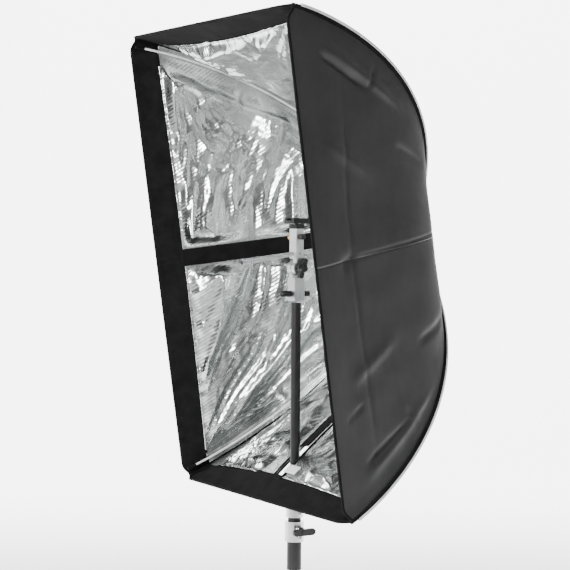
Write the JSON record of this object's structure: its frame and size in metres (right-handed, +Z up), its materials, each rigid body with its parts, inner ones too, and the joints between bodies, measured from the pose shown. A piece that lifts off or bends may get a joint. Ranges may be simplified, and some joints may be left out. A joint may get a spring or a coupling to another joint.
{
  "type": "strip softbox",
  "caption": "Rectangular folding softbox with silver lining and corner ribs, on a tilting swivel bracket and stand column top.",
  "frame": {"origin": "centre of the stand column's foot, at the cut end of its lower tube", "axes": "+Z up the column, -Y out of the softbox's opening, +X to the right seen from in front"},
  "size_m": [0.6, 0.4954, 1.0301],
  "materials": {
    "black_powder": "satin black powder coat",
    "black_plastic": "moulded black plastic",
    "cast_silver": "turned and tumbled aluminium",
    "swivel_silver": "brushed die cast aluminium",
    "bright_steel": "plated steel",
    "screw_steel": "blackened and plated screws",
    "knob_black": "glossy black grips",
    "shoe_black": "black anodised",
    "brass": "turned brass",
    "shaft_silver": "bright tube",
    "rib_grey": "pale grey fibreglass rod",
    "rib_metal": "zinc plated steel",
    "outer_nylon": "black satin nylon",
    "silver_lining": "metallic silver fabric",
    "lip_nylon": "black webbing and binding",
    "tape_black": "black hook and loop tape",
    "tab_white": "white tape"
  },
  "bodies": {
    "column": {"column_sleeve": "black_powder", "column_foot_plug": "black_plastic", "column_guide_bush": "black_plastic", "clamp_collar": "cast_silver", "clamp_collar_bolt": "screw_steel"},
    "wing_screw": {"column_wing_screw": "knob_black"},
    "mast": {"mast_tube": "black_powder", "mast_stop_collar": "cast_silver", "mast_stop_bolt": "screw_steel", "mast_stud": "bright_steel"},
    "lower_swivel": {"lower_swivel": "swivel_silver", "tilt_washer": "black_plastic", "tilt_bolt": "bright_steel"},
    "thumbscrew_front": {"thumbscrew_front": "knob_black"},
    "thumbscrew_back": {"thumbscrew_back": "knob_black"},
    "tilt_lever": {"tilt_lever": "knob_black"},
    "upper_swivel": {"upper_swivel": "swivel_silver", "brass_spigot": "brass", "shaft_grub_screw": "screw_steel", "accessory_shoe": "shoe_black"},
    "spigot_knob": {"spigot_knob": "knob_black"},
    "shoe_wheel": {"shoe_wheel": "shoe_black"},
    "canopy": {"shaft": "shaft_silver", "shaft_plug": "black_plastic", "hub": "black_plastic", "hub_pins": "bright_steel", "hub_cap": "black_plastic", "panel_left": "outer_nylon", "panel_right": "outer_nylon", "panel_top": "outer_nylon", "panel_bottom": "outer_nylon", "lining_left": "silver_lining", "lining_right": "silver_lining", "lining_top": "silver_lining", "lining_bottom": "silver_lining", "lip_left": "lip_nylon", "lip_right": "lip_nylon", "lip_top": "lip_nylon", "lip_bottom": "lip_nylon", "side_tape": "tape_black", "slit_tape": "tape_black", "slit_tab": "tab_white"},
    "runner": {"runner": "black_plastic"},
    "rib_top_left": {"rib_top_left": "rib_grey", "rib_lug_top_left": "rib_metal", "rib_pocket_top_left": "lip_nylon"},
    "stretcher_top_left": {"stretcher_top_left": "rib_metal"},
    "rib_top_right": {"rib_top_right": "rib_grey", "rib_lug_top_right": "rib_metal", "rib_pocket_top_right": "lip_nylon"},
    "stretcher_top_right": {"stretcher_top_right": "rib_metal"},
    "rib_bottom_left": {"rib_bottom_left": "rib_grey", "rib_lug_bottom_left": "rib_metal", "rib_pocket_bottom_left": "lip_nylon"},
    "stretcher_bottom_left": {"stretcher_bottom_left": "rib_metal"},
    "rib_bottom_right": {"rib_bottom_right": "rib_grey", "rib_lug_bottom_right": "rib_metal", "rib_pocket_bottom_right": "lip_nylon"},
    "stretcher_bottom_right": {"stretcher_bottom_right": "rib_metal"}
  },
  "joints": [
    {"name": "mast_height", "type": "slide", "parent": "column", "child": "mast", "axis": [0, 0, 1], "range_m": [0, 0.04]},
    {"name": "wing_screw_turn", "type": "hinge", "parent": "column", "child": "wing_screw", "pos_m": [0, 0, 0.077], "axis": [1, 0, 0], "continuous": true},
    {"name": "pan", "type": "hinge", "parent": "mast", "child": "lower_swivel", "pos_m": [0, 0, 0.53], "axis": [0, 0, 1], "continuous": true},
    {"name": "thumbscrew_front_turn", "type": "hinge", "parent": "lower_swivel", "child": "thumbscrew_front", "pos_m": [0, 0, 0.529], "axis": [0, -1, 0], "continuous": true},
    {"name": "thumbscrew_back_turn", "type": "hinge", "parent": "lower_swivel", "child": "thumbscrew_back", "pos_m": [0, 0, 0.529], "axis": [0, 1, 0], "continuous": true},
    {"name": "tilt_lever_turn", "type": "hinge", "parent": "lower_swivel", "child": "tilt_lever", "pos_m": [0, 0, 0.578], "axis": [1, 0, 0], "continuous": true},
    {"name": "tilt", "type": "hinge", "parent": "lower_swivel", "child": "upper_swivel", "pos_m": [0, 0, 0.578], "axis": [1, 0, 0], "range_deg": [-14, 1.5]},
    {"name": "spigot_knob_turn", "type": "hinge", "parent": "upper_swivel", "child": "spigot_knob", "pos_m": [0, 0, 0.6378], "axis": [1, 0, 0], "continuous": true},
    {"name": "shoe_wheel_turn", "type": "hinge", "parent": "upper_swivel", "child": "shoe_wheel", "pos_m": [0, 0, 0.657], "axis": [0, 0, 1], "continuous": true},
    {"name": "shaft_slide", "type": "slide", "parent": "upper_swivel", "child": "canopy", "axis": [0, 0.9897, 0.1433], "range_m": [-0.01, 0.01]},
    {"name": "fold", "type": "slide", "parent": "canopy", "child": "runner", "axis": [0, -0.9897, -0.1433], "range_m": [0, 0.076], "deforming": ["panel_left", "panel_right", "panel_top", "panel_bottom", "lining_left", "lining_right", "lining_top", "lining_bottom", "lip_left", "lip_right", "lip_top", "lip_bottom", "side_tape", "slit_tape", "slit_tab"]},
    {"name": "rib_fold_top_left", "type": "hinge", "parent": "canopy", "child": "rib_top_left", "pos_m": [-0.01109, 0.24305, 0.65801], "axis": [0.8321, -0.0795, 0.549], "range_deg": [0, 40.1]},
    {"name": "stretcher_fold_top_left", "type": "hinge", "parent": "runner", "child": "stretcher_top_left", "pos_m": [-0.00777, 0.18439, 0.64447], "axis": [-0.8321, 0.0795, -0.549], "range_deg": [0, 24.6]},
    {"name": "rib_fold_top_right", "type": "hinge", "parent": "canopy", "child": "rib_top_right", "pos_m": [0.01109, 0.24305, 0.65801], "axis": [0.8321, 0.0795, -0.549], "range_deg": [0, 40.1]},
    {"name": "stretcher_fold_top_right", "type": "hinge", "parent": "runner", "child": "stretcher_top_right", "pos_m": [0.00777, 0.18439, 0.64447], "axis": [-0.8321, -0.0795, 0.549], "range_deg": [0, 24.6]},
    {"name": "rib_fold_bottom_left", "type": "hinge", "parent": "canopy", "child": "rib_bottom_left", "pos_m": [-0.01109, 0.24782, 0.62507], "axis": [-0.8321, -0.0795, 0.549], "range_deg": [0, 40.1]},
    {"name": "stretcher_fold_bottom_left", "type": "hinge", "parent": "runner", "child": "stretcher_bottom_left", "pos_m": [-0.00777, 0.18773, 0.62142], "axis": [0.8321, 0.0795, -0.549], "range_deg": [0, 24.6]},
    {"name": "rib_fold_bottom_right", "type": "hinge", "parent": "canopy", "child": "rib_bottom_right", "pos_m": [0.01109, 0.24782, 0.62507], "axis": [-0.8321, 0.0795, -0.549], "range_deg": [0, 40.1]},
    {"name": "stretcher_fold_bottom_right", "type": "hinge", "parent": "runner", "child": "stretcher_bottom_right", "pos_m": [0.00777, 0.18773, 0.62142], "axis": [0.8321, -0.0795, 0.549], "range_deg": [0, 24.6]}
  ],
  "couplings": [
    {"joint": "rib_fold_top_left", "follows": "fold", "rad_per_m": 9.1827},
    {"joint": "stretcher_fold_top_left", "follows": "fold", "rad_per_m": 5.6107},
    {"joint": "rib_fold_top_right", "follows": "fold", "rad_per_m": 9.1827},
    {"joint": "stretcher_fold_top_right", "follows": "fold", "rad_per_m": 5.6107},
    {"joint": "rib_fold_bottom_left", "follows": "fold", "rad_per_m": 9.1827},
    {"joint": "stretcher_fold_bottom_left", "follows": "fold", "rad_per_m": 5.6107},
    {"joint": "rib_fold_bottom_right", "follows": "fold", "rad_per_m": 9.1827},
    {"joint": "stretcher_fold_bottom_right", "follows": "fold", "rad_per_m": 5.6107}
  ]
}
